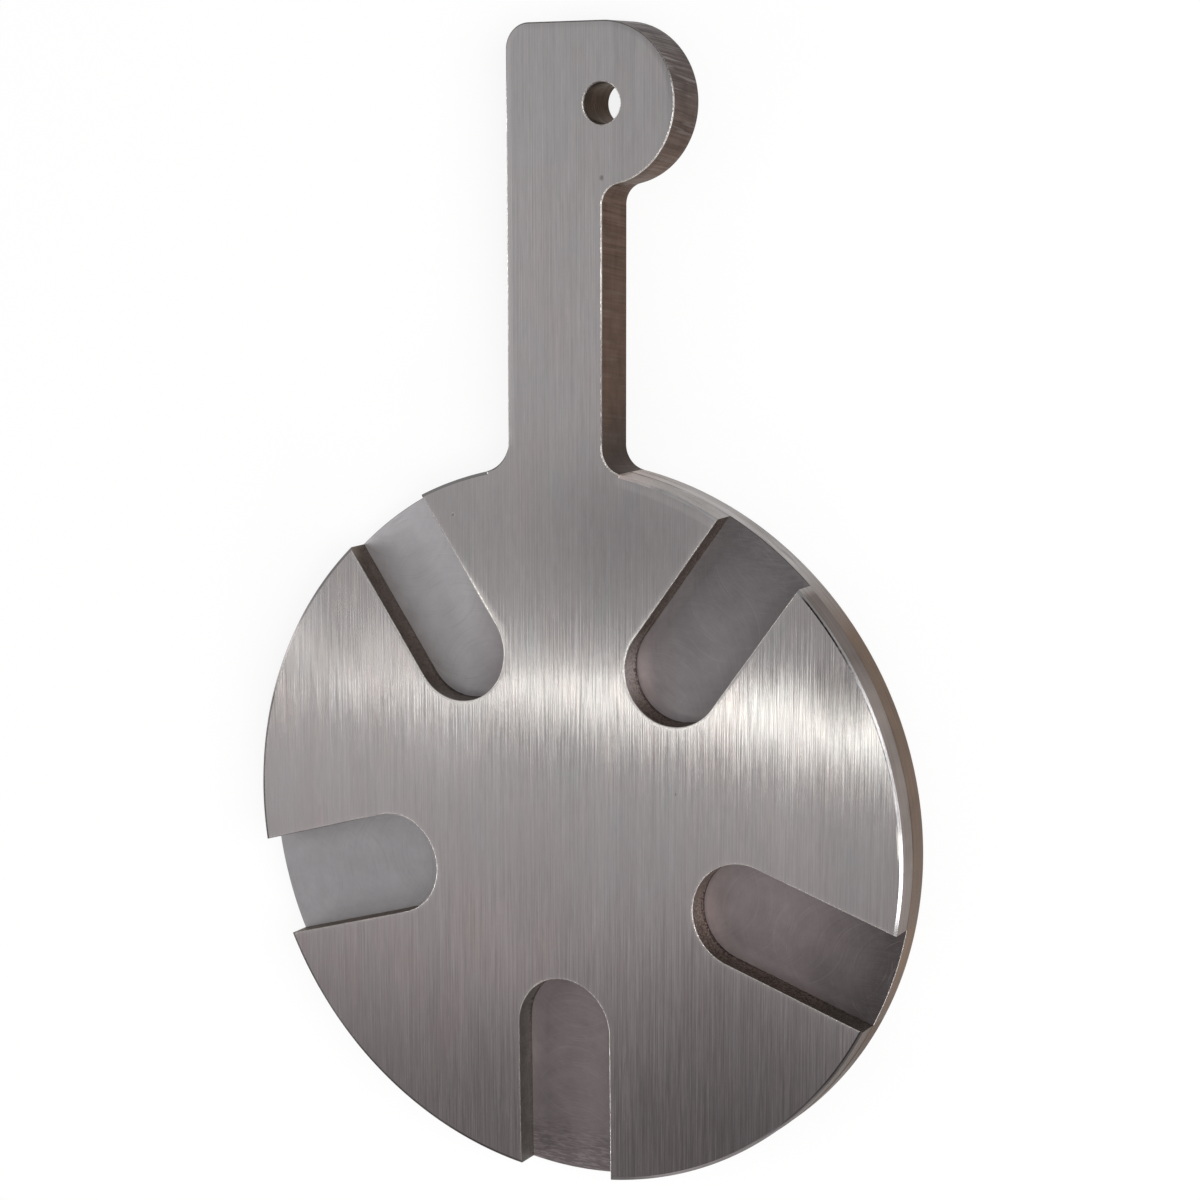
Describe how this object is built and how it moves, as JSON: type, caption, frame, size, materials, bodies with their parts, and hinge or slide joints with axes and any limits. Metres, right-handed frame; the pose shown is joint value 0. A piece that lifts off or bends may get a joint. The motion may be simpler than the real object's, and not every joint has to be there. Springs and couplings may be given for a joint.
{
  "type": "slip blind",
  "caption": "Flat steel slip blind for a flanged pipe joint: round disc with radial purge slots milled in its front face, and a hooked handle with a lifting eye.",
  "frame": {"origin": "centre of the disc, on the plain back face that the plate lies on", "axes": "+Z from the back face to the slotted front face, +Y along the handle towards the lifting eye, +X towards the hooked side of the head"},
  "size_m": [0.1778, 0.2806, 0.0127],
  "materials": {
    "stainless": "brushed along the handle on both faces, milled in the slots, cut along the edges"
  },
  "bodies": {
    "root": {"blind_plate": "stainless"}
  },
  "joints": []
}
